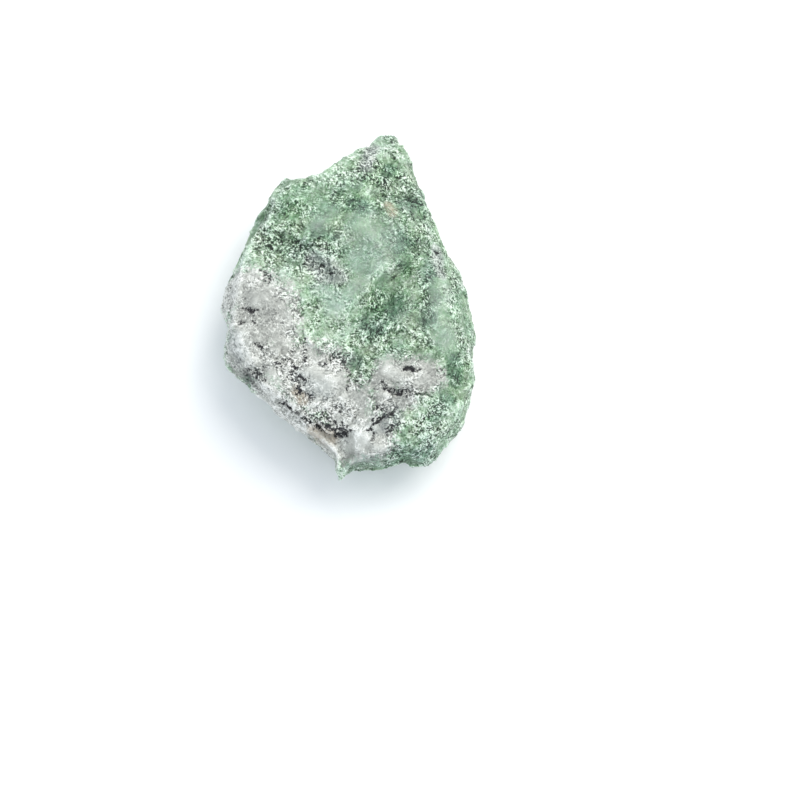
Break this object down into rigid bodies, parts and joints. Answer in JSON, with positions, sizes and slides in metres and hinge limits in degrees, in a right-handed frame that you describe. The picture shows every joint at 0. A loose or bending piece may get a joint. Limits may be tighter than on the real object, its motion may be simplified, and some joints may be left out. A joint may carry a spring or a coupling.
{
  "type": "raw green quartz with diopside",
  "caption": "Raw broken lump of green quartz with diopside: a thick irregular slab with a pointed end, fracture planes, ledges and pits, lying on a small flat patch.",
  "frame": {"origin": "on the flat patch the stone rests on, under the middle of its bounding box", "axes": "+Z up, away from the resting patch, and the thinnest way; +Y along the longest way, towards the pointed end; +X to the right seen from above with +Y up"},
  "size_m": [0.048, 0.067, 0.0225],
  "materials": {
    "green_quartz": "rough broken, sugary grain"
  },
  "bodies": {
    "root": {"stone": "green_quartz"}
  },
  "joints": []
}
